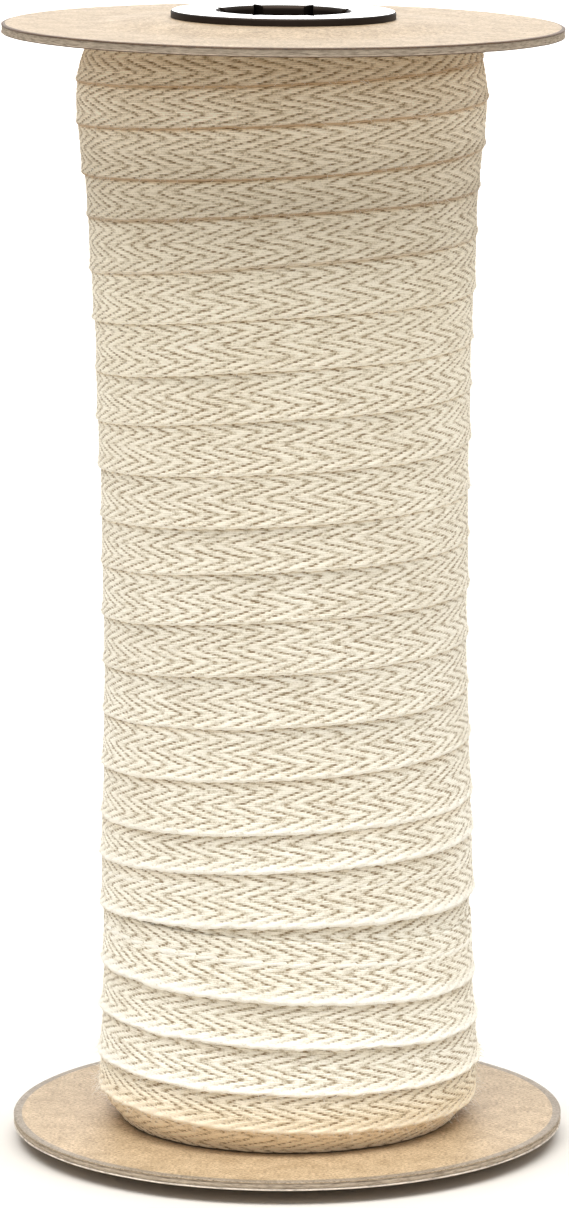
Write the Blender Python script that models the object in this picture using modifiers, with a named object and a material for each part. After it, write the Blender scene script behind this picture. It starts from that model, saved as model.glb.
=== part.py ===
# Reel of cotton twill tape: a paper core, two round chipboard flanges, a pressed ferrule at each
# end, and the tape itself, wound turn upon turn along the core as one ridged body.
# Metres, +Z up, standing on the lower ferrule, with the front of the reel towards -Y.
import math

import bmesh
import bpy
import numpy as np
from mathutils import Matrix

MM = 0.001
GAP = 0.3 * MM                     # clearance between pieces that rest on or fit each other

# Driving sizes
FLANGE_R = 63.5 * MM               # a 5 inch flange
FLANGE_T = 2.1 * MM
FLANGE_EDGE = 0.25 * MM            # small round on the die-cut rim
FLANGE_HOLE_R = 21.45 * MM
DISH = 1.45 * MM                   # the flanges bulge outwards by this much round the hub
DISH_R = 42.5 * MM                 # where the bulge starts
HUB_R = 27.0 * MM                  # and where it is flat again, for the ferrule
FLANGE_SPACING = 251.7 * MM        # upper face to upper face
UPPER_LEAN = math.radians(0.75)    # the upper flange sits a little out of square
CORE_R = 21.0 * MM
CORE_BORE_R = 18.0 * MM
CORE_SETBACK = 0.6 * MM            # the core ends this far inside the flanges' outer faces
FERRULE_R = 25.4 * MM              # a 2 inch pressed ring
FERRULE_H = 1.8 * MM               # how far its flat stands off the hub
FERRULE_BORE_R = 14.75 * MM
NECK_R = 17.45 * MM                # outside of the neck that holds the core
NECK_BORE_R = 16.3 * MM
NECK_DEPTH = 6.0 * MM
PETALS = 8                         # the ring's inner lip is split into this many petals
SLIT_TIP_R = 17.95 * MM
SLIT_WIDTH = 2.6 * MM              # width of each V-shaped slit at the bore
TAPE_WIDTH = 12.7 * MM             # 1/2 inch tape

FLANGE_STEPS = 72
ROUND_STEPS = 48
WIND_STEPS = 54

LOWER_FLANGE_Z = FERRULE_H + DISH              # underside of the lower flange's flat part
WIND_FLOOR_Z = LOWER_FLANGE_Z + FLANGE_T       # the lower flange's upper face
UPPER_FLANGE_Z = WIND_FLOOR_Z + FLANGE_SPACING - FLANGE_T
WIND_H = UPPER_FLANGE_Z - WIND_FLOOR_Z         # clear height between the flanges

# Outer radius of the wind by height above the lower flange, in mm. It is undercut at the foot,
# a little waisted half way up, and fullest under the upper flange.
WIND_OUTLINE = [
    # (height, radius)
    (0.3, 39.2),
    (2.0, 40.6),
    (4.2, 42.4),
    (7.0, 43.5),
    (16.0, 43.7),
    (30.0, 43.0),
    (45.0, 42.8),
    (62.0, 42.8),
    (80.0, 42.3),
    (100.0, 41.7),
    (120.0, 41.7),
    (140.0, 41.9),
    (160.0, 42.3),
    (180.0, 42.8),
    (200.0, 43.7),
    (214.0, 44.4),
    (226.0, 45.7),
    (238.0, 46.3),
    (244.0, 45.4),
    (249.3, 43.4),
]
LEAN_AT_FOOT = 0.4 * MM            # how far the middle of the wind lies off the axis
LEAN_AT_TOP = -0.5 * MM

# Height of the tape's lower edge in each turn, from the foot up, in mm above the lower flange:
# where it passes 60 degrees left of the front, the front, and 60 degrees right of it
TURNS = [
    # (left, front, right)
    (-4.5, -5.0, -4.5),
    (7.2, 5.6, 4.4),
    (15.4, 14.5, 13.2),
    (26.1, 25.3, 23.0),
    (36.9, 35.6, 33.1),
    (51.0, 52.9, 52.7),
    (62.9, 65.7, 66.9),
    (72.0, 74.4, 75.2),
    (84.0, 86.7, 88.5),
    (96.0, 98.5, 100.2),
    (107.5, 110.6, 112.0),
    (119.0, 122.6, 123.5),
    (130.6, 133.8, 134.9),
    (141.4, 144.0, 145.6),
    (152.9, 155.8, 157.3),
    (164.0, 167.9, 169.3),
    (175.1, 178.9, 180.0),
    (186.9, 190.6, 191.6),
    (198.0, 202.2, 203.9),
    (210.0, 213.4, 214.5),
    (219.4, 221.5, 223.7),
    (230.7, 233.1, 234.5),
    (240.2, 242.0, 243.5),
    (251.2, 253.0, 255.0),
    (263.0, 265.0, 267.0),
]
SIDE_VIEW_DEG = 60.0               # how far round the left and right columns stand
LIP = 0.42 * MM                    # a turn's lower edge stands this far proud of the outline
TUCK = 0.38 * MM                   # its upper edge lies this far inside, under the next turn
BARE = 0.7 * MM                    # extra depth where two turns part and show the layer below
SNAP = 0.4 * MM                    # a row that comes this near a flange ends there


def new_collection(name):
    made = bpy.data.collections.new(name)
    bpy.context.scene.collection.children.link(made)
    return made


def material(name, colour, roughness, metallic=0.0):
    made = bpy.data.materials.new(name)
    made.use_nodes = True
    shader = made.node_tree.nodes["Principled BSDF"]
    shader.inputs["Base Color"].default_value = (*colour, 1.0)
    shader.inputs["Roughness"].default_value = roughness
    shader.inputs["Metallic"].default_value = metallic
    return made


def mesh_of(shape, name):
    """A mesh of the finished bmesh, with its faces turned outwards and its round parts smooth."""
    bmesh.ops.remove_doubles(shape, verts=shape.verts, dist=0.000004)
    bmesh.ops.recalc_face_normals(shape, faces=shape.faces)
    mesh = bpy.data.meshes.new(name)
    shape.to_mesh(mesh)
    shape.free()
    mesh.shade_smooth()
    mesh.set_sharp_from_angle(angle=math.radians(35))
    return mesh


def place(mesh, collection, finish=None):
    made = bpy.data.objects.new(mesh.name, mesh)
    if finish is not None:
        mesh.materials.append(finish)
    collection.objects.link(made)
    return made


def turned(name, outline, steps, collection, finish):
    """A closed outline of (radius, height) points spun round Z with a Screw modifier. It runs
    down its outer side, so that the faces point outwards."""
    mesh = bpy.data.meshes.new(name)
    count = len(outline)
    mesh.from_pydata([(r, 0.0, z) for r, z in outline], [(i, (i + 1) % count) for i in range(count)], [])
    made = place(mesh, collection, finish)
    screw = made.modifiers.new("spin", "SCREW")
    screw.axis = "Z"
    screw.steps = steps
    screw.render_steps = steps
    screw.use_merge_vertices = True
    screw.merge_threshold = 0.00001
    screw.use_smooth_shade = True
    sharp = made.modifiers.new("sharp_edges", "EDGE_SPLIT")
    sharp.split_angle = math.radians(35)
    return made


def arc(centre, radius, start_deg, end_deg, points):
    """Points of (radius, height) along an arc, from start to end, both included."""
    angles = np.radians(np.linspace(start_deg, end_deg, points))
    return [(centre[0] + radius * math.cos(a), centre[1] + radius * math.sin(a)) for a in angles]


def make_flange(name, collection, finish):
    """A die-cut chipboard disc with its hole. Its outer face is at height 0, raised by DISH round
    the hub, and its body lies below."""
    e = FLANGE_EDGE
    rim = arc((FLANGE_R - e, -e), e, 90, 0, 3) + arc((FLANGE_R - e, e - FLANGE_T), e, 0, -90, 3)
    inner_face = [(DISH_R, -FLANGE_T), (HUB_R, DISH - FLANGE_T), (FLANGE_HOLE_R, DISH - FLANGE_T)]
    outer_face = [(FLANGE_HOLE_R, DISH), (HUB_R, DISH), (DISH_R, 0.0)]
    return turned(name, rim + inner_face + outer_face, FLANGE_STEPS, collection, finish)


def make_core(collection, finish):
    low = LOWER_FLANGE_Z - DISH + CORE_SETBACK
    high = UPPER_FLANGE_Z + FLANGE_T + DISH - CORE_SETBACK - CORE_R * math.sin(UPPER_LEAN)
    outline = [(CORE_R, high), (CORE_R, low), (CORE_BORE_R, low), (CORE_BORE_R, high)]
    return turned("core_tube", outline, ROUND_STEPS, collection, finish)


def make_slit_cutter(name, collection):
    """Thin wedges that split a ferrule's inner lip into petals."""
    shape = bmesh.new()
    reach = SLIT_TIP_R - 0.5 * FERRULE_BORE_R
    half = 0.5 * SLIT_WIDTH * reach / (SLIT_TIP_R - FERRULE_BORE_R)
    for petal in range(PETALS):
        turn = Matrix.Rotation(2 * math.pi * (petal + 0.5) / PETALS, 4, "Z")
        wedge = bmesh.ops.create_cone(
            shape, segments=3, radius1=1.0, radius2=1.0, depth=4 * NECK_DEPTH, cap_ends=True)["verts"]
        far = max(wedge, key=lambda v: v.co.y).co.y
        for v in wedge:
            at_tip = v.co.y > 0.9 * far
            v.co.y = 0.0 if at_tip else math.copysign(half, v.co.x)
            v.co.x = SLIT_TIP_R if at_tip else SLIT_TIP_R - reach
        bmesh.ops.transform(shape, matrix=turn, verts=wedge)
    cutter = place(mesh_of(shape, name), collection)
    cutter.hide_render = True
    cutter.display_type = "WIRE"
    return cutter


def make_ferrule(name, collection, finish, cutter):
    """A pressed ring with a rounded rim, and a neck that reaches into the core. The hub's outer
    face is height 0, and the ring stands over it."""
    edge = 0.4 * MM
    plate = 0.9 * MM
    curl = 1.2 * MM
    rim = arc((FERRULE_R - edge, FERRULE_H - edge), edge, 90, 0, 4)
    skirt = [(FERRULE_R, GAP), (FERRULE_R - plate, GAP), (FERRULE_R - plate, FERRULE_H - plate)]
    neck = [(NECK_R, FERRULE_H - plate), (NECK_R, -NECK_DEPTH), (NECK_BORE_R, -NECK_DEPTH),
            (NECK_BORE_R, FERRULE_H - plate - curl)]
    lip = [(FERRULE_BORE_R, FERRULE_H - plate - curl)]
    lip += arc((FERRULE_BORE_R + curl, FERRULE_H - curl), curl, 180, 90, 5)
    made = turned(name, rim + skirt + neck + lip, ROUND_STEPS, collection, finish)
    cut = made.modifiers.new("slits", "BOOLEAN")
    cut.operation = "DIFFERENCE"
    cut.object = cutter
    made.modifiers.move(len(made.modifiers) - 1, 1)
    return made


def lower_edge(climb):
    """Height of the tape's lower edge after a climb in turns, counted up the reel from the
    first row of TURNS; whole numbers are at the front."""
    side = SIDE_VIEW_DEG / 360
    known = [(turn + step * side, height) for turn, row in enumerate(TURNS) for step, height in zip((-1, 0, 1), row)]
    at, height = np.array(known).T
    return np.interp(climb, at, height) * MM


def outline_radius(height):
    heights, radii = np.array(WIND_OUTLINE).T * MM
    return np.interp(height, heights, radii)


def dish_at(radius):
    """How far a flange bulges outwards at a radius."""
    return DISH * np.clip((DISH_R - radius) / (DISH_R - HUB_R), 0.0, 1.0)


def unevenness(angle, climb):
    """A little slackness that changes slowly from turn to turn."""
    return 0.1 * MM * (np.sin(2 * angle + 2.1 * climb) + 0.6 * np.sin(3 * angle - 1.3 * climb))


def make_wind(collection, finish):
    """The wound tape. Its rows follow the tape's edges round the reel, each turn's last row
    meets the next turn's first, and rows that would pass a flange end level beside it. Both ends
    follow the dished flanges in to the core."""
    degrees = np.linspace(-180, 180, WIND_STEPS + 1)
    angle = np.radians(degrees)
    roof = WIND_H - GAP - 0.2 * MM - math.sin(UPPER_LEAN) * 43.5 * MM * np.sin(angle)
    floor = np.full(len(angle), GAP + 0.05 * MM - dish_at(outline_radius(0.0)))
    inner = np.full(len(angle), CORE_R + GAP)
    hub = np.full(len(angle), HUB_R)
    hub_floor = floor - DISH + dish_at(outline_radius(0.0))
    rows = [(inner, hub_floor), (hub, hub_floor), (outline_radius(floor), floor)]
    for turn in range(-1, len(TURNS) - 1):
        climb = turn + degrees / 360
        low = lower_edge(climb)
        following = lower_edge(climb + 1)
        edge = np.minimum(low + TAPE_WIDTH, following)
        bare = np.clip((following - edge) / MM, 0.0, 1.0)
        slack = unevenness(angle, climb)
        for height, swell in (
            (low, LIP + slack),
            (low + 0.5 * (edge - low), 0.08 * MM + slack),
            (edge - 0.5 * MM, slack - 0.7 * TUCK),
            (following, slack - TUCK - BARE * bare),
        ):
            ended = (height < floor + SNAP) | (height > roof - SNAP)
            height = np.where(height < floor + SNAP, floor, np.where(height > roof - SNAP, roof, height))
            rows.append((outline_radius(height) + np.where(ended, 0.0, swell), height))
    rows += [(outline_radius(roof), roof), (hub, roof + DISH), (inner, roof + DISH)]
    radius, height = np.array(rows).transpose(1, 0, 2)
    lean = LEAN_AT_FOOT + (LEAN_AT_TOP - LEAN_AT_FOOT) * height / WIND_H
    lean[[0, 1, -2, -1]] = 0.0
    x = lean + radius * np.sin(angle)
    y = -radius * np.cos(angle)
    shape = bmesh.new()
    grid = [[shape.verts.new(p) for p in zip(*line)] for line in zip(x, y, height + WIND_FLOOR_Z)]
    for below, above in zip(grid, grid[1:] + grid[:1]):
        for j in range(WIND_STEPS):
            shape.faces.new((below[j], below[j + 1], above[j + 1], above[j]))
    return place(mesh_of(shape, "wound_tape"), collection, finish)


def main():
    for old in list(bpy.data.objects):
        bpy.data.objects.remove(old)
    reel = new_collection("twill_tape_reel")
    cutters = new_collection("cutters")
    kraft = [material(name, (0.78, 0.60, 0.40), 0.8) for name in ("lower_board", "upper_board")]
    steel = [material(name, (0.72, 0.71, 0.69), 0.22, 1.0) for name in ("lower_steel", "upper_steel")]
    paper = material("core_paper", (0.30, 0.25, 0.20), 0.85)
    cotton = material("natural_cotton", (0.84, 0.77, 0.64), 0.9)

    # the lower flange and ferrule are the upper pair turned over
    upside_down = Matrix.Translation((0, 0, LOWER_FLANGE_Z)) @ Matrix.Rotation(math.pi, 4, "X")
    upper_seat = Matrix.Translation((0, 0, UPPER_FLANGE_Z + FLANGE_T)) @ Matrix.Rotation(UPPER_LEAN, 4, "Y")
    for side, seat, board, metal in (
        ("lower", upside_down, kraft[0], steel[0]),
        ("upper", upper_seat, kraft[1], steel[1]),
    ):
        make_flange(side + "_flange", reel, board).matrix_world = seat
        hub_face = seat @ Matrix.Translation((0, 0, DISH))
        slits = make_slit_cutter(side + "_slits", cutters)
        slits.matrix_world = hub_face
        make_ferrule(side + "_ferrule", reel, metal, slits).matrix_world = hub_face
    make_core(reel, paper)
    make_wind(reel, cotton)


if __name__ == "__main__":
    main()
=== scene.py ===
# %% [markdown]
# # A reel of cotton twill tape
#
# The real thing is a haberdasher's reel: about a hundred metres of half-inch herringbone tape,
# wound to and fro along a paper core between two round boards, with a pressed metal ring at each
# end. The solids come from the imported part. Here each of them gets the surface that the eye
# expects: a woven tape that overlaps itself like shingles, boards with paper faces and a ply edge,
# and a bright ring whose lip is split into petals.
#
# The frame comes first. Every later piece is measured from it, so nothing has to be fitted.

import math

import bpy
import numpy as np
from mathutils import Euler, Matrix, Vector


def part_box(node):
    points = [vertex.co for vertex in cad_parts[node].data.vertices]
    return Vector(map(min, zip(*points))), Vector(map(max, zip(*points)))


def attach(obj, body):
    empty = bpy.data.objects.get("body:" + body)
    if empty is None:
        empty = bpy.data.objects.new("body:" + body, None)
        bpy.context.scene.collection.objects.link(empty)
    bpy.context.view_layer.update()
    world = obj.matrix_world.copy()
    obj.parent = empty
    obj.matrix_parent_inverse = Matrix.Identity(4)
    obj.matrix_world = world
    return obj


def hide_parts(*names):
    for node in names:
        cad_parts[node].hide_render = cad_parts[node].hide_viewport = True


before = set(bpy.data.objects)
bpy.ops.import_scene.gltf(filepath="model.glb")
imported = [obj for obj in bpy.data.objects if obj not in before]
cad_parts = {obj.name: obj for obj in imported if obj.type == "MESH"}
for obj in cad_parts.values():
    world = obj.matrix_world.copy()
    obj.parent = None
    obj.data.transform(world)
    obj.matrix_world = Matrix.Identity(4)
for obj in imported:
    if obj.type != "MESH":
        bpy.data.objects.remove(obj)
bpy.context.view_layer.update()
MM = 0.001

# %% [markdown]
# ## Sizes taken from the frame
#
# The two boards give the heights between which the tape lies. The lower board is square to the
# axis. The upper one leans a little to the right, as boards do that are only held by their ring,
# so its height is a slope across X and not one number. The press that set the rings drew both
# boards outwards round the hub, so each is a very shallow dish.

# %% Heights and radii that the pieces share
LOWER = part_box("lower_flange")
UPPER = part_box("upper_flange")
BOARD_R = LOWER[1].x
BOARD_T = 2.1 * MM
DISH = 1.45 * MM              # how far a board bulges outwards at the hub
FLOOR_Z = LOWER[1].z          # the face that the tape stands on
LEAN = math.radians(0.75)     # of the upper board, to the right
UPPER_FACE_Z = UPPER[0].z + BOARD_T * math.cos(LEAN) + BOARD_R * math.sin(LEAN)
WIND_H = UPPER_FACE_Z - BOARD_T - FLOOR_Z
RING_H = 1.8 * MM             # of a ring above its board


def dish(radius):
    """How far a board bulges outwards at a radius: nothing beyond 44 mm, all of it within 27 mm,
    and between them the smooth step 3 t squared minus 2 t cubed."""
    t = np.clip((44 * MM - radius) / (17 * MM), 0.0, 1.0)
    return DISH * t * t * (3 - 2 * t)


print("clear height, mm:", round(WIND_H / MM, 2), " lower board's top, mm:", round(FLOOR_Z / MM, 2))

# %% [markdown]
# ## Helpers for building a surface
#
# Every new piece here is a grid of points: rows along one parameter, columns along another. A
# grid turns into faces by joining each point with its neighbours, and a closed shape is a grid
# whose last row or column joins the first. numpy works the whole grid out at once, which is both
# quicker and easier to read than a loop over points.

# %% From a grid of points to a mesh object
def grid_faces(rows, columns, wrap_rows=False, wrap_columns=False):
    """Quads between neighbouring points of a grid. Point (i, j) has the index i * columns + j,
    and a wrapped direction also joins its last line to its first."""
    i = np.arange(rows if wrap_rows else rows - 1)[:, None]
    j = np.arange(columns if wrap_columns else columns - 1)[None, :]
    i2, j2 = (i + 1) % rows, (j + 1) % columns
    corners = [i * columns + j, i * columns + j2, i2 * columns + j2, i2 * columns + j]
    return np.stack([np.broadcast_to(c, (len(i), j.shape[1])) for c in corners], -1).reshape(-1, 4)


def mesh_object(name, points, faces, layers=()):
    """A mesh object from an (n, 3) array of points and an (m, k) array of corner indices. layers
    holds pairs of a name and an (n, 2) array of coordinates for a shader to read."""
    mesh = bpy.data.meshes.new(name)
    count, k = faces.shape
    mesh.vertices.add(len(points))
    mesh.vertices.foreach_set("co", np.ascontiguousarray(points, np.float32).ravel())
    mesh.loops.add(count * k)
    mesh.loops.foreach_set("vertex_index", np.ascontiguousarray(faces, np.int32).ravel())
    mesh.polygons.add(count)
    mesh.polygons.foreach_set("loop_start", np.arange(0, count * k, k, dtype=np.int32))
    mesh.polygons.foreach_set("use_smooth", np.ones(count, bool))
    for layer, values in layers:
        made = mesh.uv_layers.new(name=layer)
        made.data.foreach_set("uv", np.ascontiguousarray(values[faces], np.float32).ravel())
    mesh.update(calc_edges=True)
    mesh.validate()
    made = bpy.data.objects.new(name, mesh)
    bpy.context.scene.collection.objects.link(made)
    return made


def smooth_curve(x, known_x, known_y):
    """A cubic curve through known points. Its slope at each of them is the slope between the two
    neighbours, and between two points it is Hermite's blend of heights and slopes."""
    known_x, known_y = np.asarray(known_x, float), np.asarray(known_y, float)
    slope = np.gradient(known_y, known_x)
    i = np.clip(np.searchsorted(known_x, x) - 1, 0, len(known_x) - 2)
    width = known_x[i + 1] - known_x[i]
    t = np.clip((x - known_x[i]) / width, 0.0, 1.0)
    from_left = (1 + 2 * t) * (1 - t) ** 2 * known_y[i] + t * (1 - t) ** 2 * width * slope[i]
    from_right = t * t * (3 - 2 * t) * known_y[i + 1] + t * t * (t - 1) * width * slope[i + 1]
    return from_left + from_right


# %% [markdown]
# ## How the tape lies
#
# Tape is laid on the reel as one long screw, each turn over the edge of the turn below it. So the
# whole roll follows from three curves: the height of the tape's lower edge as it climbs, the
# outer radius of the wind at each height, and how far the edges stand proud. The heights below
# are those of the visible edges on the left, in front and on the right; one turn is one row.
# Near the foot the turns dip to the right instead of rising, and the two lowest of the upper
# turns part a little and show the layer beneath.

# %% The lower edge of the tape, turn by turn
EDGE_MM = [
    # (60 degrees left of the front, front, 60 degrees right of it)
    (-4.3, -5.4, -6.2),
    (7.2, 5.6, 4.4),
    (15.4, 14.5, 13.2),
    (26.1, 25.3, 23.0),
    (36.9, 35.6, 33.1),
    (51.0, 52.9, 52.7),
    (62.9, 65.7, 66.9),
    (72.0, 74.4, 75.2),
    (84.0, 86.7, 88.5),
    (96.0, 98.5, 100.2),
    (107.5, 110.6, 112.0),
    (119.0, 122.6, 123.5),
    (130.6, 133.8, 134.9),
    (141.4, 144.0, 145.6),
    (152.9, 155.8, 157.3),
    (164.0, 167.9, 169.3),
    (175.1, 178.9, 180.0),
    (186.9, 190.6, 191.6),
    (198.0, 202.2, 203.9),
    (210.0, 213.4, 214.5),
    (219.4, 221.5, 223.7),
    (230.7, 233.1, 234.5),
    (240.2, 242.0, 243.5),
    (251.2, 253.0, 255.0),
    (263.0, 265.0, 267.0),
]
TAPE_W = 12.7 * MM
TAPE_T = 0.36 * MM
TURNS = len(EDGE_MM)


def edge_height(climb):
    """Height of the tape's lower edge above the lower board, after a climb in turns. Whole
    numbers are at the front, and the table's side columns lie a sixth of a turn to each side."""
    known = np.array([(turn + sixths / 6, height) for turn, row in enumerate(EDGE_MM)
                      for sixths, height in zip((-1, 0, 1), row)])
    return smooth_curve(climb, known[:, 0], known[:, 1] * MM)


def wind_radius(height):
    """Outer radius of the wind: undercut at the foot, waisted half way up, full at the top."""
    known = np.array([        # (height, radius) in mm
        (-3.0, 38.6), (0.3, 39.2), (2.0, 40.6), (4.2, 42.4), (7.0, 43.5), (16.0, 43.7),
        (30.0, 43.0), (45.0, 42.8), (62.0, 42.8), (80.0, 42.3), (100.0, 41.7), (120.0, 41.7),
        (140.0, 41.9), (160.0, 42.3), (180.0, 42.8), (200.0, 43.7), (214.0, 44.4),
        (226.0, 45.7), (238.0, 46.3), (244.0, 45.4), (249.3, 43.4), (254.0, 41.8),
    ])
    return smooth_curve(height, known[:, 0] * MM, known[:, 1] * MM)


def wind_lean(height):
    """How far the middle of the wind lies to the right of the axis."""
    return (0.4 - 0.9 * np.clip(height / WIND_H, 0, 1)) * MM


def under_board(x):
    """Height of the upper board's underside above the lower board, across its lean."""
    return WIND_H - math.tan(LEAN) * x


print("turns in the table:", TURNS)

# %% [markdown]
# ## The weave as a relief
#
# Herringbone tape is a two-up, two-down twill. Every warp thread floats over two weft threads and
# dives under the next two, and its neighbour does the same one weft thread later, so the floats
# line up as slanting ridges. Every eight threads the direction turns round, which draws the
# chevrons. The points of the tape's grid are set one per warp thread and one per weft thread, so
# the ridges run exactly along the grid's diagonals and stay crisp with few faces.

# %% Which way the ridges slant, and how high they stand
ENDS = 32                     # warp threads across the tape
STRIPE = 8                    # threads before the slant turns round
PICK = 1.35 * MM              # from one weft thread to the next
RELIEF = 0.15 * MM            # from the ridges down to the grooves


def float_phase(end, pick):
    """Where a thread is in its cycle, in whole weft threads. It walks with the thread's own
    number, up in one stripe and down in the next, mirrored about the stripe's edge."""
    walked = np.abs(end % (2 * STRIPE) - STRIPE)
    return (pick + walked) % 4


def relief(end, pick):
    """Height of the weave, as a wave along the thread: a little over 1 on a float, and a little
    under 0 where the thread has dived."""
    return 0.5 + 0.6 * np.cos((float_phase(end, pick) - 0.5) * math.pi / 2)


print("tape:", ENDS, "warp threads, mm apart:", round(TAPE_W / ENDS / MM, 3), " weft:", PICK / MM)

# %% [markdown]
# ## The woven strip
#
# A turn is a band that leans: its lower edge lies outside the turn below, and its upper edge is
# tucked under the turn above. So the radius falls from the lower edge to the upper one, by a
# little more than the tape's thickness. Where a board is in the way, the tape can't go on
# upwards, so what is left of its width turns in towards the core and lies flat on the board.
# The strip is a closed band: a woven outside, a plain inside, and a selvedge between them.

# %% The shape of a turn
LIP = 0.24 * MM               # how far the lower edge stands proud of the wind's mean radius
FALL = 0.46 * MM              # from there down to where the next turn covers it
SINK = 0.9 * MM               # and from there on, for each further share of the way
FLARE_H = 75 * MM             # turns below this height flare more
TUCK = 0.9 * MM               # how far a turn reaches under the next one at least
STRETCH = 1.12                # the most that a turn is drawn out for that
CLEAR = 0.25 * MM             # the tape's own distance from the boards
FOOT_R = 39.2 * MM            # where the tape stands on the lower board
HEAD_R = 43 * MM              # where it meets the upper one
TURN_LENGTH = 2 * math.pi * 43.2 * MM


def lean_in(share, height):
    """Outward distance of a point of the tape, by its share of the way to the next turn's edge.
    The lower edge flares like the hem of a skirt and the rest stands almost upright: of the whole
    fall, two thirds go with the 5th power of what is left of the way, and one third with its
    1.2th power. Turns near the foot flare more, and the covered part sinks under the next turn."""
    left = np.clip(1.0 - share, 0.0, 1.0)
    flare = 1.0 + 1.4 * np.clip(1.0 - height / FLARE_H, 0, 1) ** 0.8
    kept = (2 * left ** 5 + left ** 1.2) / 3
    return flare * (LIP - FALL * (1.0 - kept)) - SINK * np.maximum(share - 1.0, 0.0)


def slack(angle, climb):
    """Slow swells of the tape, which change a little from turn to turn, and finer puckers."""
    slow = np.sin(2 * angle + 2.1 * climb) + 0.6 * np.sin(3 * angle - 1.3 * climb)
    fine = np.sin(11 * angle + 5.3 * climb) * np.sin(4 * angle - 2.7 * climb)
    return (0.10 * slow + 0.05 * fine) * MM


def tape_points(climb, across, edge, lift, depth):
    """Points of the strip, and how far each lies below the next turn's edge or the upper board.
    climb is in turns, across is the distance from the lower edge, edge is the lower edge's height,
    lift is the extra height of the weave, and depth is how far inside the outer surface the point
    lies. The radius is that of the wind at the point's height, plus the lean of the turn and the
    weave, and the angle is the climb's."""
    to_next = edge_height(climb + 1) - edge_height(climb)
    pitch = np.clip(to_next, 7 * MM, 0.98 * TAPE_W)
    angle = 2 * math.pi * climb
    wanted = edge + across * np.clip((to_next + TUCK) / TAPE_W, 1.0, STRETCH)
    roof = under_board(HEAD_R * np.sin(angle))
    height = np.clip(wanted, CLEAR - dish(FOOT_R), roof - CLEAR)
    turned_in = np.abs(wanted - height)
    radius = wind_radius(height) + lean_in(across / pitch, height) + slack(angle, climb)
    radius = radius + lift - depth - turned_in
    x = wind_lean(height) + radius * np.sin(angle)
    below = np.minimum(edge_height(climb + 1), roof) - wanted
    return np.stack([x, -radius * np.cos(angle), FLOOR_Z + height], -1), below


# %% [markdown]
# A weft thread turns back at each selvedge, so the edge is a row of tiny loops. Along the strip
# the points come in pairs, one on a loop and one between two loops, and that alone draws the
# scallops. The lower edge is also a little frayed, most of all near the foot. Two triangles make
# each patch, and the line between them follows the ridge.
#
# The strip carries two sets of coordinates for its finish. "weave" counts the threads: weft along
# the tape and warp across it. "cover" tells how far below the next turn's edge a point lies.

# %% A length of woven tape as one closed band
LOOP = 0.22 * MM              # how far the selvedge's loops reach out
LOOP_DEPTH = 0.10 * MM        # and how far they lie below the ridges
BEAD = 0.12 * MM              # extra thickness of the lower hem
FRAY, FOOT_FRAY = 0.07 * MM, 0.11 * MM
FRAYED_TURNS = 8              # turns over which the foot's extra fray fades out


def woven_strip(name, first, last, shift=0.0, inward=0.0):
    """A band of tape from climb first to climb last, shift above the visible turns and inward of
    them. Rows run along the tape, one per weft thread, and columns go once round its section.
    Returns the mesh object and the length of the tape in it."""
    step = PICK / TURN_LENGTH
    picks = np.arange(round(first / step), round(last / step) + 1)[:, None]
    climb = picks * step
    ends = np.concatenate([np.arange(ENDS + 1), [ENDS, 0.66 * ENDS, 0.33 * ENDS, 0]])[None, :]
    outside = (np.arange(ENDS + 5) <= ENDS)[None, :]
    selvedge = outside & ((ends == 0) | (ends == ENDS))
    bead = np.where(ends <= 2, BEAD, 0.0)
    lift = np.where(outside & ~selvedge, RELIEF * relief(ends, picks) + bead, 0.0)
    rng = np.random.default_rng(3)
    loops = rng.uniform(0.4, 1.3, picks.shape) * (picks % 2)
    third_picks = picks[::3, 0]
    waves = np.interp(picks, third_picks, rng.normal(0.0, 1.0, len(picks))[:len(third_picks)])
    scallop = np.where(ends == 0, -1.0, 1.0) * selvedge * LOOP * loops
    fray = FRAY + FOOT_FRAY * np.clip(1 - climb / FRAYED_TURNS, 0, 1)
    scallop = scallop + fray * (ends <= 1) * waves
    across = ends / ENDS * TAPE_W + scallop
    depth = np.where(outside, selvedge * LOOP_DEPTH, TAPE_T) + inward
    points, below = tape_points(climb, across, edge_height(climb) + shift, lift, depth)
    rows, columns = points.shape[:2]
    a, b, c, d = grid_faces(rows, columns, wrap_columns=True).T
    rising = ((np.tile(np.arange(columns), rows - 1) // STRIPE) % 2 == 0)[:, None]
    first_half = np.where(rising, np.stack([a, c, b], -1), np.stack([a, d, b], -1))
    second_half = np.where(rising, np.stack([a, d, c], -1), np.stack([b, d, c], -1))
    cap = np.arange(1, columns - 1)
    start_cap = np.stack([np.zeros_like(cap), cap, cap + 1], -1)
    end_cap = np.stack([np.zeros_like(cap), cap + 1, cap], -1) + (rows - 1) * columns
    faces = np.concatenate([first_half, second_half, start_cap, end_cap])
    weave = np.stack(np.broadcast_arrays(picks, ends), -1).reshape(-1, 2)
    cover = np.stack([below.ravel() / MM, np.zeros(below.size)], -1)
    made = mesh_object(name, points.reshape(-1, 3), faces, [("weave", weave), ("cover", cover)])
    length = (last - first) * TURN_LENGTH
    print(name, ":", len(faces), "triangles,", round(length, 2), "m of tape")
    return made, length


# %% [markdown]
# ## Cotton
#
# The finish reads the strip's own coordinates. With the same walk as the relief it finds the float
# that a point lies on, rounds it off lengthwise and crosswise for the bump, and darkens the
# grooves with painted shade, where little light gets in. Under the next turn's edge and under the
# upper board it paints shade on the tape as well. Noise on the object's coordinates adds what no
# reel is without: slightly uneven bleaching, a hairy surface and a rare fleck of seed husk.
#
# The tint changes with height, as painted light and shade that follow the studio's light up the
# wind. The hems near the foot are wide and carry painted light, and those under the upper board
# have a dark line of painted shade along them.

# %% Small helpers for node trees
WHITE = (1.0, 1.0, 1.0)


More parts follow.
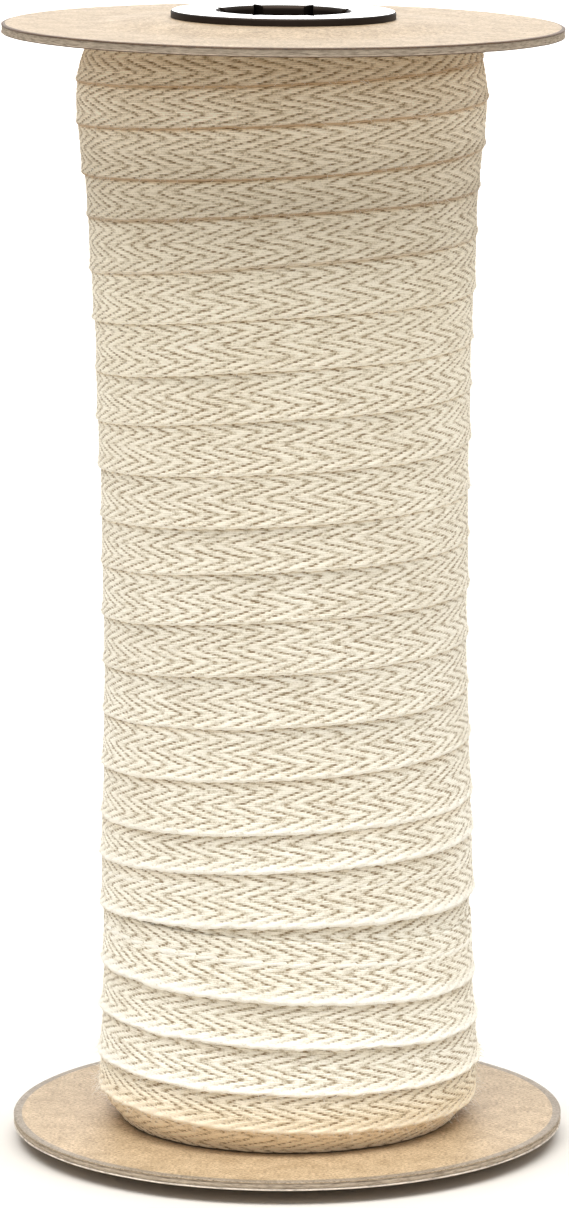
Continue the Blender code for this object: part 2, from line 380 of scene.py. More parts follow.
def new_material(name, roughness, **inputs):
    """A material, its node tree and its Principled shader, with the shader's inputs set."""
    made = bpy.data.materials.new(name)
    made.use_nodes = True
    shader = made.node_tree.nodes["Principled BSDF"]
    for key, value in {"Roughness": roughness, **inputs}.items():
        shader.inputs[key.replace("_", " ")].default_value = value
    return made, made.node_tree, shader


def node(tree, kind, settings=None, **inputs):
    """A node of a kind, its settings and its inputs. An input is a value, or another node's
    output; the inputs of a Math node are called a, b and c."""
    made = tree.nodes.new(kind)
    for key, value in (settings or {}).items():
        setattr(made, key, value)
    for key, value in inputs.items():
        place = "abc".index(key) if kind == "ShaderNodeMath" else key.replace("_", " ")
        socket = made.inputs[place]
        if isinstance(value, bpy.types.NodeSocket):
            tree.links.new(value, socket)
        else:
            socket.default_value = value
    return made


def calc(tree, operation, a, b=0.0, c=0.0):
    """The output of one Math node. MULTIPLY_ADD gives a times b plus c."""
    return node(tree, "ShaderNodeMath", {"operation": operation}, a=a, b=b, c=c).outputs[0]


def swing(tree, value, size):
    """A value from 0 to 1 made into one from minus half a size to plus half a size."""
    return calc(tree, "MULTIPLY_ADD", value, size, -0.5 * size)


def parts(tree, vector):
    """The three numbers of a vector."""
    return node(tree, "ShaderNodeSeparateXYZ", Vector=vector).outputs


def object_place(tree):
    """Where a point lies on the object, in metres."""
    return node(tree, "ShaderNodeTexCoord").outputs["Object"]


def layer_place(tree, layer):
    """A point's two numbers in one of the mesh's own sets of coordinates."""
    return parts(tree, node(tree, "ShaderNodeUVMap", {"uv_map": layer}).outputs["UV"])[:2]


def joined(tree, x, y):
    """A vector from two numbers."""
    return node(tree, "ShaderNodeCombineXYZ", X=x, Y=y).outputs[0]


def squeezed(tree, vector, scale):
    """A vector with its numbers times those of scale, which draws a pattern narrower there."""
    return node(tree, "ShaderNodeMapping", Vector=vector, Scale=scale).outputs[0]


def ramp(tree, value, stops):
    """Colours blended along a value. stops is a list of (position, colour)."""
    made = node(tree, "ShaderNodeValToRGB", Fac=value)
    table = made.color_ramp.elements
    for position, _ in stops[2:]:
        table.new(position)
    for element, (position, colour) in zip(table, stops):
        element.position = position
        element.color = (*colour, 1.0)
    return made.outputs["Color"]


def noise(tree, vector, scale, detail=3.0, roughness=0.5):
    """Smooth noise from 0 to 1, with scale waves in a unit of the vector."""
    inputs = {"Vector": vector, "Scale": scale, "Detail": detail, "Roughness": roughness}
    return node(tree, "ShaderNodeTexNoise", **inputs).outputs["Fac"]


def between(tree, value, low, high):
    """0 at low and 1 at high, with a smooth step from one to the other and level ends. low can
    also be the larger number."""
    settings = {"interpolation_type": "SMOOTHSTEP"}
    inputs = {"Value": value, "From_Min": low, "From_Max": high}
    return node(tree, "ShaderNodeMapRange", settings, **inputs).outputs[0]


def tinted(tree, colour, by, amount=1.0, blend="MULTIPLY"):
    """A colour blended with another by an amount. Each is a value or a node's output."""
    mixed = node(tree, "ShaderNodeMix", {"data_type": "RGBA", "blend_type": blend})
    for place, value in ((0, amount), (6, colour), (7, by)):
        socket = mixed.inputs[place]
        if isinstance(value, bpy.types.NodeSocket):
            tree.links.new(value, socket)
        else:
            socket.default_value = value if socket.type == "VALUE" else (*value, 1.0)
    return mixed.outputs[2]


def finish_with(tree, shader, colour, height, strength, distance):
    """Gives a shader its colour, and relief that is too fine for the mesh."""
    tree.links.new(colour, shader.inputs["Base Color"])
    bump = node(tree, "ShaderNodeBump", Height=height, Strength=strength, Distance=distance)
    tree.links.new(bump.outputs["Normal"], shader.inputs["Normal"])


# %% Natural cotton, woven as herringbone
FOOT_Z = (0.045, 0.125)       # heights between which the foot's looks fade out
HEAD_Z = (0.19, 0.225)        # heights between which those of the head set in
YARN_TONES = [                # from the bottom of a groove to the top of a float
    (0.02, (0.33, 0.255, 0.175)), (0.38, (0.64, 0.585, 0.50)),
    (0.66, (0.91, 0.89, 0.855)), (0.95, (1.06, 1.06, 1.06)),
]
COVER_SHADE_TONES = [(0.05, (0.44, 0.33, 0.22)), (0.26, (0.80, 0.72, 0.61)), (1.0, WHITE)]
# Painted light and shade by height, following the studio's light up the wind.
PAINTED_LIGHT_BY_HEIGHT = [              # by the share of 260 mm
    (0.035, (1.06, 0.95, 0.78)), (0.085, (1.0, 1.01, 1.02)), (0.45, (0.99, 0.985, 0.98)),
    (0.76, (1.03, 1.0, 0.95)), (0.85, (0.87, 0.81, 0.735)), (0.92, (1.06, 0.98, 0.89)),
    (0.98, (1.04, 0.93, 0.80)),
]
CLOUD_TONES = [(0.3, (0.94, 0.925, 0.90)), (0.7, WHITE)]
HUSK_TONES = [(0.11, (0.55, 0.42, 0.28)), (0.15, WHITE)]


def float_cycle(tree, along, across, wobble):
    """Where a point is in its thread's cycle of four weft threads, as float_phase has it, but
    moved by noise so that no two floats end alike. 401.5 keeps the count above 0 and in step with
    the relief. Gives the cycle, the thread's number and how far that thread's cycle has walked."""
    thread = calc(tree, "FLOOR", across)
    own = joined(tree, calc(tree, "MULTIPLY", thread, 3.7), calc(tree, "MULTIPLY", along, 0.11))
    uneven = swing(tree, noise(tree, own, 1.0, 1.0), 1.3)
    along = calc(tree, "ADD", along, calc(tree, "ADD", wobble, uneven))
    in_pair = calc(tree, "MODULO", calc(tree, "ADD", thread, 0.5), 2.0 * STRIPE)
    walked = calc(tree, "ABSOLUTE", calc(tree, "SUBTRACT", in_pair, STRIPE))
    return calc(tree, "ADD", calc(tree, "ADD", along, walked), 401.5), thread, walked


def weave_depth(tree, place, cycle, thread, walked, across):
    """How far a point lies below the top of its float. A float dives at both ends and is round
    across, and a dark hole may show where four of them meet. Some floats are plumper."""
    in_cycle = calc(tree, "MODULO", cycle, 4.0)
    off_middle = calc(tree, "ABSOLUTE", calc(tree, "SUBTRACT", in_cycle, 2.0))
    trough = between(tree, off_middle, 0.6, 1.9)
    centre = calc(tree, "ADD", thread, 0.5)
    side = calc(tree, "MULTIPLY", calc(tree, "SUBTRACT", across, centre), 2.0)
    furrow = calc(tree, "POWER", calc(tree, "ABSOLUTE", side), 3.0)
    turning = calc(tree, "ABSOLUTE", calc(tree, "SUBTRACT", walked, 0.5 * STRIPE))
    open_here = calc(tree, "MULTIPLY_ADD", between(tree, turning, 3.8, 2.2), 0.65, 0.35)
    hole = calc(tree, "MULTIPLY", between(tree, off_middle, 1.5, 1.98), open_here)
    patchy = between(tree, noise(tree, place, 1100.0, 1.0), 0.35, 0.6)
    which = joined(tree, thread, calc(tree, "FLOOR", calc(tree, "MULTIPLY", cycle, 0.25)))
    flat = {"noise_dimensions": "2D"}
    plump = node(tree, "ShaderNodeTexWhiteNoise", flat, Vector=which).outputs["Value"]
    depth = calc(tree, "MULTIPLY_ADD", trough, 0.39, calc(tree, "MULTIPLY", furrow, 0.26))
    holes = calc(tree, "MULTIPLY", hole, calc(tree, "MULTIPLY_ADD", patchy, 0.42, 0.14))
    return calc(tree, "ADD", calc(tree, "ADD", depth, holes), calc(tree, "MULTIPLY", plump, 0.30))


def cotton_finish(name, colour=(0.98, 0.935, 0.815), shown=1.0):
    """shown is how clearly the weave can be seen, from 0 to 1."""
    look = {"Sheen_Weight": 0.2, "Sheen_Roughness": 0.5, "Specular_IOR_Level": 0.15}
    made, tree, shader = new_material(name, 0.92, **look)
    place = object_place(tree)
    up = parts(tree, place)[2]
    low = calc(tree, "SUBTRACT", 1.0, between(tree, up, *FOOT_Z))
    high = between(tree, up, *HEAD_Z)
    along, across = layer_place(tree, "weave")
    wobble = swing(tree, noise(tree, place, 300.0, 2.0), 0.9)
    cycle, thread, walked = float_cycle(tree, along, across, wobble)
    sunk = weave_depth(tree, place, cycle, thread, walked, across)

    # The hem is felted: body is 0 at the lower edge and 1 beyond the hem's width, in threads.
    hem_width = calc(tree, "MULTIPLY_ADD", low, 4.2, 1.6)
    hem_place = calc(tree, "DIVIDE", calc(tree, "ADD", across, wobble), hem_width)
    body = between(tree, hem_place, 0.1, 1.25)
    clear = calc(tree, "MULTIPLY", calc(tree, "MULTIPLY_ADD", body, 0.65, 0.35), shown)
    height = calc(tree, "SUBTRACT", 1.0, calc(tree, "MULTIPLY", sunk, clear))

    # Fine hairs, and strands along each float, make the tone uneven.
    hair = noise(tree, place, 2300.0, 3.0, 0.7)
    slanted = joined(tree, calc(tree, "MULTIPLY", cycle, 0.6), calc(tree, "MULTIPLY", across, 0.7))
    strands = calc(tree, "MULTIPLY_ADD", noise(tree, slanted, 1.0, 2.0, 0.6), 1.4, -0.66)
    tone = calc(tree, "ADD", calc(tree, "ADD", height, swing(tree, hair, 1.2)), strands)
    woven = tinted(tree, colour, ramp(tree, tone, YARN_TONES))
    # Painted light: the hems are mixed towards white, most near the foot, where they flare and
    # catch the light.
    hem_painted_light = calc(tree, "MULTIPLY_ADD", low, 0.36, 0.04)
    hem = calc(tree, "MULTIPLY", calc(tree, "SUBTRACT", 1.0, body), hem_painted_light)
    woven = tinted(tree, woven, (1.0, 0.98, 0.93), calc(tree, "MULTIPLY", hem, shown), "MIX")

    # Painted shade under the next turn's edge and under the upper board, and a dark line of painted
    # shade along a hem at the head.
    below = calc(tree, "MULTIPLY_ADD", wobble, 0.5, layer_place(tree, "cover")[0])
    below = calc(tree, "DIVIDE", below, calc(tree, "MULTIPLY_ADD", low, 2.0, 0.85))
    shaded = calc(tree, "MULTIPLY_ADD", low, -0.35, calc(tree, "MULTIPLY_ADD", high, 0.25, 0.75))
    woven = tinted(tree, woven, ramp(tree, below, COVER_SHADE_TONES), shaded)
    line = calc(tree, "MULTIPLY", high, between(tree, across, 1.9, 0.5))
    woven = tinted(tree, woven, (0.50, 0.38, 0.27), line)

    for value, tones in (
        (noise(tree, place, 55.0, 4.0), CLOUD_TONES),
        (noise(tree, place, 1100.0, 1.0), HUSK_TONES),
        (calc(tree, "MULTIPLY", up, 1 / 0.26), PAINTED_LIGHT_BY_HEIGHT),
    ):
        woven = tinted(tree, woven, ramp(tree, value, tones))
    relief_height = calc(tree, "MULTIPLY_ADD", hair, 0.55, height)
    finish_with(tree, shader, woven, relief_height, 0.85, 0.16 * MM)
    return made


cotton = cotton_finish("natural_cotton_herringbone")
# The foot's copy shows the weave less clearly, and its slightly paler base colour is painted light
# for the foot band.
felted = cotton_finish("natural_cotton_felted", (0.98, 0.94, 0.85), 0.8)
print("cotton:", len(cotton.node_tree.nodes), "nodes")

# %% [markdown]
# ## Winding the visible turns
#
# Four pieces share the visible turns, because one mesh of the whole strip would be heavy. They
# meet at the back, at the same section, so no joint shows. The turn at the foot has rubbed on the
# board until its weave was felted over. Behind the place where two turns part, a short length of
# the layer beneath lies a little further in.

# %% Wind the tape
tape_pieces = [woven_strip(name, first, last) for name, first, last in (
    ("tape_foot_turn", -0.5, 0.5),
    ("tape_lower_turns", 0.5, 7.5),
    ("tape_middle_turns", 7.5, 15.5),
    ("tape_upper_turns", 15.5, 23.2),
)]
tape_pieces.append(woven_strip("tape_beneath", 3.7, 5.35, shift=8.4 * MM, inward=0.62 * MM))

# %% [markdown]
# Unbleached cotton sheds lint. The fibres stand out from the hems and gather where the lowest
# turn rubs on the board. Each is a thin prism with three sides that bends as it leaves the tape.

# %% Loose fibres
def lint_fibres(name, count, seed):
    """Fibre k starts at a random place on a hem. Its points lie at the start plus its direction
    times the length run, plus its bend times the square of that."""
    rng = np.random.default_rng(seed)
    climb = 23.0 * rng.uniform(0, 1, count) ** 1.8
    across = rng.exponential(0.9 * MM, count)
    start, _ = tape_points(climb, across, edge_height(climb), 0.08 * MM, 0.0)
    angle = 2 * math.pi * climb
    outward = np.stack([np.sin(angle), -np.cos(angle), np.zeros(count)], -1)
    sideways = np.stack([np.cos(angle), np.sin(angle), np.zeros(count)], -1)
    amount = rng.normal(0, 1, (3, count, 1))
    upward = np.array([0, 0, 0.5]) * (amount[1] - 0.4)
    heading = 0.55 * outward + 0.9 * amount[0] * sideways + upward
    heading /= np.linalg.norm(heading, axis=1, keepdims=True)
    length = rng.uniform(0.7, 2.6, (count, 1)) * MM
    knots, sides = 4, 3
    run = np.linspace(0, 1, knots)[None, :, None]
    bend = 0.5 * np.cross(heading, outward) * amount[2] + 0.2 * outward
    spine = start[:, None] + length[:, None] * (heading[:, None] * run + bend[:, None] * run ** 2)
    lowest, highest = FLOOR_Z + 0.05 * MM, FLOOR_Z + under_board(spine[:, :, 0]) - 0.3 * MM
    spine[:, :, 2] = np.clip(spine[:, :, 2], lowest, highest)
    across_spine = np.cross(heading, outward)
    across_spine /= np.linalg.norm(across_spine, axis=1, keepdims=True) + 1e-9
    third = np.cross(heading, across_spine)
    thickness = 0.038 * MM * (1 - 0.6 * run)
    corners = [spine + thickness * (math.cos(a) * across_spine + math.sin(a) * third)[:, None]
               for a in np.radians([0, 120, 240])]
    points = np.stack(corners, 2).reshape(-1, 3)
    prism = grid_faces(knots, sides, wrap_columns=True)
    faces = (prism[None] + knots * sides * np.arange(count)[:, None, None]).reshape(-1, 4)
    print(name, ":", len(faces), "faces")
    return mesh_object(name, points, faces)


lint = lint_fibres("lint", 9000, 8)
lint.data.materials.append(new_material("cotton_lint", 0.9, Base_Color=(0.88, 0.84, 0.76, 1.0))[0])

# %% [markdown]
# Inside the visible turns lie all the others. They only show as a dark or pale ground in a gap,
# so they are one turned body, a little smaller than the wind, with a bore for the core.

# %% The layers inside
def round_angles(steps):
    """The angles of equal steps round a circle, as a column."""
    return np.linspace(0, 2 * math.pi, steps, endpoint=False)[:, None]


def turned_mesh(name, radius, height):
    """A closed outline turned about Z. radius and height have a row for each step round and a
    column for each outline point: a point lies at (radius cos angle, radius sin angle, height).
    The outline runs outwards on top and back below, so the faces look outwards."""
    angle = round_angles(len(radius))
    points = np.stack([radius * np.cos(angle), radius * np.sin(angle), height], -1)
    made = mesh_object(name, points.reshape(-1, 3), grid_faces(*radius.shape, True, True))
    print(name, ":", len(made.data.polygons), "faces")
    return made


heights = np.linspace(0.4 * MM, WIND_H - 1.2 * MM, 90)
outer = np.stack([wind_radius(heights) - 2.3 * MM, FLOOR_Z + heights], -1)
bore = np.array([[21.3 * MM, FLOOR_Z + heights[-1]], [21.3 * MM, FLOOR_Z + heights[0]]])
outline = np.concatenate([outer, bore])[::-1]
all_round = np.broadcast_to(outline, (144, *outline.shape))
wind_inside = turned_mesh("wind_inside", all_round[:, :, 0], all_round[:, :, 1])
wind_inside.data.materials.append(new_material("cotton_layers_inside", 0.95)[0])
inside = wind_inside.data.materials[0].node_tree
# Painted shade: the layers are the same cotton, coloured darker brown because they only show in
# shaded gaps.
painted_gap_shade = ramp(inside, noise(inside, object_place(inside), 240.0),
              [(0.3, (0.45, 0.38, 0.28)), (0.7, (0.62, 0.54, 0.41))])
inside.links.new(painted_gap_shade, inside.nodes["Principled BSDF"].inputs["Base Color"])

# %% [markdown]
# ## The boards
#
# A reel's flange is grey chipboard between two kraft papers, punched out with one blow. The
# papers stand proud of the pressed core, so the rim shows a grey band with the lines of its plies
# between the edges of the papers. The punch tore the edge of the lowest paper, which is pale, and
# handling has scuffed the upper edge of the lower board darker. Both paper edges of the upper
# board are dark brown painted shade: on its rounded top edge and along its underside over the tape.

# %% A laminated board
HUB_HOLE_R = 21.45 * MM
# Points of the rim's section, in mm: three round the outer paper, seven on the plies, and three
# round the inner paper. Each list says how deep they lie or how far inside the board's radius.
RIM_DEPTH = [0.07, 0.22, 0.40, *np.linspace(0.48, 1.82, 7), 1.85, 1.98, 2.07]
EVEN_RIM = [0.25, 0.0, 0.03, 0.16, 0.10, 0.17, 0.09, 0.16, 0.11, 0.15, 0.02, 0.0, 0.10]
SPLIT_RIM = [0.25, 0.0, 0.03, 0.32, 0.10, 0.05, 0.05, 0.08, 0.34, 0.10, 0.02, 0.0, 0.10]
# The fourth slot is a dark paper edge: scuffed on the lower board, painted shade on the upper.
PAPER, CORE, TORN, SCUFF_AND_SHADE = range(4)    # a board's material slots


def wander(angle, seed, size):
    """A closed wavy line: a few sines with whole numbers of waves round the rim."""
    rng = np.random.default_rng(seed)
    waves = rng.integers(2, 40, 9)
    turns = rng.uniform(0, 2 * math.pi, 9)
    return size * np.sum(np.sin(waves * angle[..., None] + turns) / np.sqrt(waves), -1) / 2.2


def board(name, seed, nicks, burr_outside):
    """A disc whose outer face is at height 0. Its section runs out along the outer face, down the
    rim over the plies, back along the inner face and up the hole. nicks are (angle in degrees,
    width in degrees, depth) of small dents in the rim. Where burr_outside is set, the punch left
    the outer paper with a pale, torn edge, and the inner paper's edge takes the fourth slot,
    which is scuffed darker on the lower board. Otherwise both papers' edges take the fourth slot,
    which on the upper board is dark brown painted shade."""
    out = np.append(np.linspace(HUB_HOLE_R, BOARD_R - 1.9 * MM, 24), BOARD_R - 0.85 * MM)
    inset = np.array(SPLIT_RIM if burr_outside else EVEN_RIM) * MM
    outline_r = np.concatenate([out, BOARD_R - inset, out[::-1]])
    outline_z = np.concatenate([0 * out, -np.array(RIM_DEPTH) * MM, 0 * out - BOARD_T])
    angle = round_angles(420)
    radius = outline_r + 0 * angle
    near_rim = np.clip((radius - 0.8 * BOARD_R) / (0.2 * BOARD_R), 0, 1)
    radius += near_rim * np.minimum(wander(angle, seed, 0.05 * MM), 0.02 * MM)
    for where, wide, deep in nicks:
        off = (np.degrees(angle) - where + 180) % 360 - 180
        radius -= (near_rim ** 6) * deep * np.exp(-(off / wide) ** 2)
    height = outline_z + dish(radius) + near_rim ** 2 * wander(angle, seed + 1, 0.05 * MM)
    made = turned_mesh(name, radius, height)
    place = np.arange(len(outline_r)) - len(out)
    finish = np.full(len(place), PAPER)
    torn_rim, shaded_rim = [(0, 3, TORN), (11, 14, SCUFF_AND_SHADE)], [(-1, 2, SCUFF_AND_SHADE), (10, 15, SCUFF_AND_SHADE)]
    for first, stop, slot in [(2, 10, CORE)] + (torn_rim if burr_outside else shaded_rim):
        finish[(place >= first) & (place < stop)] = slot
    made.data.polygons.foreach_set("material_index", np.tile(finish, len(angle)).astype(np.int32))
    return made


# %% Kraft paper and grey board
def kraft_finish(name, colour=(0.405, 0.298, 0.182)):
    """Brown paper: fibres that run mostly one way, paler and darker patches, and dark specks."""
    made, tree, shader = new_material(name, 0.55, Specular_IOR_Level=0.5, Sheen_Weight=0.05)
    place = object_place(tree)
    fibres = noise(tree, squeezed(tree, place, (1.0, 2.2, 1.0)), 1300.0, 4.0, 0.7)
    tone = tinted(tree, colour, ramp(tree, fibres, [
        (0.36, (0.40, 0.36, 0.30)), (0.50, WHITE), (0.64, (1.40, 1.45, 1.54))]))
    tone = tinted(tree, tone, ramp(tree, noise(tree, place, 170.0, 5.0, 0.7), [
        (0.34, (0.78, 0.75, 0.69)), (0.66, (1.12, 1.13, 1.15))]))
    tone = tinted(tree, tone, ramp(tree, noise(tree, place, 800.0, 1.0), [
        (0.19, (0.50, 0.38, 0.27)), (0.25, WHITE)]), 0.8)
    finish_with(tree, shader, tone, fibres, 0.35, 0.08 * MM)
    return made


def chipboard_finish(name, colour=(0.43, 0.355, 0.27)):
    """Pressed waste paper, seen on the cut: thin level layers in uneven tones."""
    made, tree, shader = new_material(name, 0.9)
    plies = noise(tree, squeezed(tree, object_place(tree), (1.0, 1.0, 9.0)), 420.0, 5.0, 0.7)
    tone = tinted(tree, colour, ramp(tree, plies, [
        (0.32, (0.42, 0.39, 0.36)), (0.5, (0.95, 0.93, 0.91)), (0.68, (1.35, 1.33, 1.30))]))
    finish_with(tree, shader, tone, plies, 0.7, 0.15 * MM)
    return made


kraft_up = kraft_finish("kraft_paper")
# Painted light: the lower board's copy of the same paper is lighter, standing in for the light it
# gets.
kraft_down = kraft_finish("kraft_paper_painted_lighter", (0.462, 0.334, 0.196))
chipboard = chipboard_finish("grey_chipboard")
torn = chipboard_finish("torn_paper_edge", (0.74, 0.67, 0.58))
# Painted shade: the upper board's paper edges are near-black brown, for the shade on its rounded
# top edge and under it.
paper_edge_shade = kraft_finish("kraft_paper_painted_shade", (0.10, 0.052, 0.022))
rubbed_down = kraft_finish("kraft_paper_scuffed", (0.27, 0.215, 0.155))

# %% [markdown]
# The section is built once, facing up. The lower board is the same disc turned over and set at
# the foot, and the upper one is tilted with the board of the solid model.

# %% Set both boards
def seat(made, lower):
    """Puts a piece that was built on the outer face of a board in its place: at the top it leans
    with the board, and at the foot it is turned over about X."""
    points = np.empty(len(made.data.vertices) * 3, np.float32)
    made.data.vertices.foreach_get("co", points)
    x, y, z = points.reshape(-1, 3).T
    if lower:
        placed = np.stack([x, -y, FLOOR_Z - BOARD_T - z], -1)
    else:
        c, s = math.cos(LEAN), math.sin(LEAN)
        placed = np.stack([x * c + z * s, y, UPPER_FACE_Z + z * c - x * s], -1)
    made.data.vertices.foreach_set("co", placed.astype(np.float32).ravel())
    made.data.update()


lower_nicks = [(250, 1.2, 0.35 * MM), (292, 0.8, 0.2 * MM)]
upper_nicks = [(128, 2.0, 0.8 * MM), (263, 1.0, 0.3 * MM), (315, 0.7, 0.3 * MM)]
lower_board = board("lower_board", 5, lower_nicks, True)
upper_board = board("upper_board", 11, upper_nicks, False)
seat(lower_board, True)
seat(upper_board, False)
for made, finishes in (
    (lower_board, (kraft_down, chipboard, torn, rubbed_down)),
    (upper_board, (kraft_up, chipboard, torn, paper_edge_shade)),
):
    for finish in finishes:               # in the order of PAPER, CORE, TORN and the dark paper edge
        made.data.materials.append(finish)

# %% [markdown]
# ## The rings
#
# The ring is pressed from thin bright steel. Its flat is very slightly crowned, its rim rolls
# down to the board, and its lip was slit eight times before the press folded it into the core, so
# the hole has eight small notches. In the grid a notch is nothing but a larger inner radius at
# its angle: every point of the lip that lies inside that radius is moved out to it.

# %% A pressed ring with a slit lip
RING_R = 25.4 * MM
HOLE_R = 14.75 * MM
NOTCH_R = 17.95 * MM
PETALS = 8
NOTCH_HALF = 4.6              # degrees from the middle of a notch to its end
LIP_DEPTH = 5.5 * MM          # how far the lip reaches down into the core
CURL_R = 1.2 * MM             # of the bend from the lip up to the crown
ROLL_R = 0.6 * MM             # of the bend at the rim
CROWN = 0.05 * MM             # how much the flat rises in its middle


def pressed_ring(name):
    """Section from the lip inside the core, up over the curl, out along the crown, down the
    rolled rim and back underneath. Each point's radius is at least the notch's at its angle."""
    curl = np.radians(np.linspace(180, 90, 8))
    crown = np.linspace(HOLE_R + 1.3 * MM, RING_R - 0.7 * MM, 12)
    roll = np.radians(np.linspace(90, 0, 7))
    top, under, lip_back = RING_H, RING_H - 0.7 * MM, HOLE_R + 1.5 * MM
    rise = np.sin(math.pi * (crown - crown[0]) / (crown[-1] - crown[0]))
    outline_r = np.concatenate([
        [HOLE_R + 0.9 * MM, HOLE_R + 0.35 * MM], HOLE_R + CURL_R * (1 + np.cos(curl)), crown,
        RING_R - ROLL_R * (1 - np.cos(roll)),
        [RING_R, RING_R - 0.5 * MM, RING_R - 0.5 * MM, HOLE_R + 2.3 * MM, lip_back, lip_back]])
    outline_z = np.concatenate([
        [-LIP_DEPTH, -2.5 * MM], top - CURL_R + 1.15 * MM * np.sin(curl), top - CROWN * (1 - rise),
        top - 0.65 * MM + ROLL_R * np.sin(roll),
        [0.06 * MM, 0.05 * MM, under, under, top - 1.5 * MM, -LIP_DEPTH]])
    angle = round_angles(320)
    petal = 360 / PETALS
    off = np.abs((np.degrees(angle) / petal) % 1.0 - 0.5) * petal
    notch = HOLE_R + (NOTCH_R - HOLE_R) * np.clip(1 - off / NOTCH_HALF, 0, 1)
    radius = np.maximum(outline_r, notch)
    made = turned_mesh(name, radius, outline_z + DISH + 0 * angle)
    made.data.set_sharp_from_angle(angle=math.radians(40))
    place = np.arange(len(outline_r))
    # Painted shade: these parts take the near-black steel, on the lip inside the hole and on the
    # rim below the roll.
    painted_dark_parts = (place < 7) | (place >= 24)    # the lip below the curl, and the rim below the roll
    made.data.polygons.foreach_set("material_index", np.tile(painted_dark_parts, len(angle)).astype(np.int32))
    return made


def steel_finish(name, colour, roughness):
    """Rolled steel with fine scratches along X."""
    made, tree, shader = new_material(name, roughness, Metallic=1.0)
    scratches = noise(tree, squeezed(tree, object_place(tree), (1.0, 12.0, 1.0)), 260.0, 4.0)
    tone = tinted(tree, colour, ramp(tree, scratches, [(0.3, (0.90, 0.89, 0.88)), (0.7, WHITE)]))
    finish_with(tree, shader, tone, scratches, 0.12, 0.03 * MM)
    return made


bright = steel_finish("bright_pressed_steel", (0.86, 0.85, 0.83), 0.24)
# Steel painted near black: painted shade inside the hole, and painted shade and dark reflection
# down the rolled rim.
steel_painted_dark = steel_finish("steel_painted_shade", (0.040, 0.030, 0.024), 0.55)
lower_ring = pressed_ring("lower_ring")
upper_ring = pressed_ring("upper_ring")
for made, lower in ((lower_ring, True), (upper_ring, False)):
    seat(made, lower)
    made.data.materials.append(bright)
    made.data.materials.append(steel_painted_dark)

# %% [markdown]
# ## The core
#
# The tube's own solid is right as it is. It gets the look of a paper tube, wound from a strip
# whose edge shows as a faint screw line down the bore.

# %% Spiral-wound paper
SCREW = 70 * MM               # the seam's climb in one turn


def core_finish(name):
    """The seam lies where z / SCREW plus the angle's share of a full turn is a whole number."""
    made, tree, shader = new_material(name, 0.9)
    place = object_place(tree)
    x, y, z = parts(tree, place)
    share = calc(tree, "MULTIPLY", calc(tree, "ARCTAN2", y, x), 0.5 / math.pi)
    climb = calc(tree, "FRACT", calc(tree, "ADD", calc(tree, "MULTIPLY", z, 1 / SCREW), share))
    seam = ramp(tree, climb, [(0.0, (0.45, 0.42, 0.40)), (0.03, WHITE)])
    # Painted shade: the paper's tones are near black, for the shade down the bore.
    paper = ramp(tree, noise(tree, place, 500.0, 4.0), [
        (0.3, (0.045, 0.036, 0.028)), (0.7, (0.085, 0.068, 0.052))])
    finish_with(tree, shader, tinted(tree, paper, seam), climb, 0.2, 0.1 * MM)
    return made


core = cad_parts["core_tube"]
core.data.materials.clear()
core.data.materials.append(core_finish("spiral_wound_paper"))

# %% [markdown]
# ## What stands for what
#
# Each new piece rides on the one body of the part, and the solid that it stands for is hidden.

# %% Join the pieces to the frame
for piece, length in tape_pieces:
    piece.data.materials.append(felted if piece.name == "tape_foot_turn" else cotton)
    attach(piece, "root")
    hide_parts("wound_tape")
for piece, solid in (
    (wind_inside, "wound_tape"),
    (lint, "wound_tape"),
    (lower_board, "lower_flange"),
    (upper_board, "upper_flange"),
    (lower_ring, "lower_ferrule"),
    (upper_ring, "upper_ferrule"),
):
    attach(piece, "root")
    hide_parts(solid)

# %% [markdown]
# ## The studio
#
# A reel like this is photographed on a white sweep, between two wide softboxes that hang high up
# on the left and on the right of the camera. Behind it the backdrop glows, and a white room fills
# the shadows. The upper board then shades the first turns under it, and the floor lights the
# lower ones from below.

# %% Floor, light and camera
FLOOR_TONES = [(0.0, (0.66, 0.63, 0.585)), (1.0, (0.33, 0.32, 0.30))]


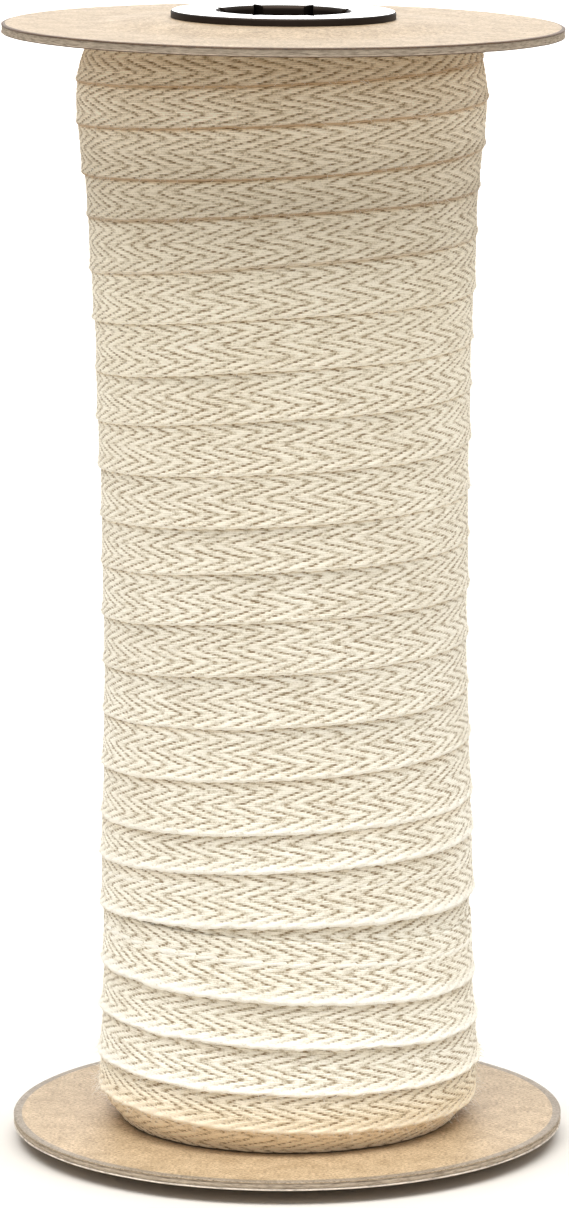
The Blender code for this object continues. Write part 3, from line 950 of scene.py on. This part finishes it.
def white_floor():
    """A level floor, wide enough to fill the camera's view to its upper edge. Near the reel it is
    paler, and behind it the paper glows, as a sweep does that is lit from the back."""
    x, y = np.linspace(-9, 9, 13), np.linspace(-6, 12, 13)
    points = np.stack(np.broadcast_arrays(x[None, :], y[:, None], 0.0), -1)
    made = mesh_object("white_floor", points.reshape(-1, 3), grid_faces(13, 13))
    look = {"Specular_IOR_Level": 0.1, "Emission_Color": (*WHITE, 1.0)}
    paper, tree, shader = new_material("white_paper_floor", 0.85, **look)
    made.data.materials.append(paper)
    aside, back = parts(tree, object_place(tree))[:2]
    front = calc(tree, "MINIMUM", back, 0.0)
    squares = calc(tree, "MULTIPLY_ADD", aside, aside, calc(tree, "MULTIPLY", front, front))
    away = between(tree, calc(tree, "SQRT", squares), 0.27, 0.35)
    tree.links.new(ramp(tree, away, FLOOR_TONES), shader.inputs["Base Color"])
    glow = calc(tree, "MULTIPLY", between(tree, back, -0.02, 0.06), 0.35)
    tree.links.new(glow, shader.inputs["Emission Strength"])
    return made


def light(name, kind, power):
    """A lamp and its object, in the scene but not yet aimed."""
    lamp = bpy.data.lights.new(name, kind)
    lamp.energy = power
    made = bpy.data.objects.new(name, lamp)
    bpy.context.scene.collection.objects.link(made)
    return lamp, made


floor = white_floor()
for name, turn, power in (("left_softbox", -50, 2.1), ("right_softbox", 50, 1.8)):
    sun, made = light(name, "SUN", power)
    sun.angle = math.radians(32)
    made.rotation_euler = (math.radians(20), 0.0, math.radians(turn))
glow, made = light("backdrop_glow", "AREA", 45)
glow.size = 2.6
made.location = (0.0, 3.7, 1.4)
towards_reel = Vector((0, 0, 0.3)) - made.location
made.rotation_euler = towards_reel.to_track_quat("-Z", "Y").to_euler()

world = bpy.data.worlds.new("studio")
bpy.context.scene.world = world
world.use_nodes = True
background = world.node_tree.nodes["Background"].inputs
background["Color"].default_value = (*WHITE, 1.0)
background["Strength"].default_value = 0.62
bpy.context.scene.view_settings.view_transform = "Standard"

FOCAL_PX = 5988.35            # of the fitted view, in the photograph's pixels
camera = bpy.data.cameras.new("camera")
camera.lens = 178.46          # mm, for the sensor's 36 mm along the picture's height
camera.sensor_width = 36.0
camera.clip_end = 20.0
viewer = bpy.data.objects.new("camera", camera)
bpy.context.scene.collection.objects.link(viewer)
viewer.location = (0.00045, -1.3499, 0.36479)
pitch, yaw, roll = math.radians(90 - 10.093), 2.94 / FOCAL_PX, -0.00354
turned = Euler((pitch, 0.0, yaw)).to_matrix() @ Matrix.Rotation(roll, 3, "Z")
viewer.rotation_euler = turned.to_euler()
bpy.context.scene.camera = viewer
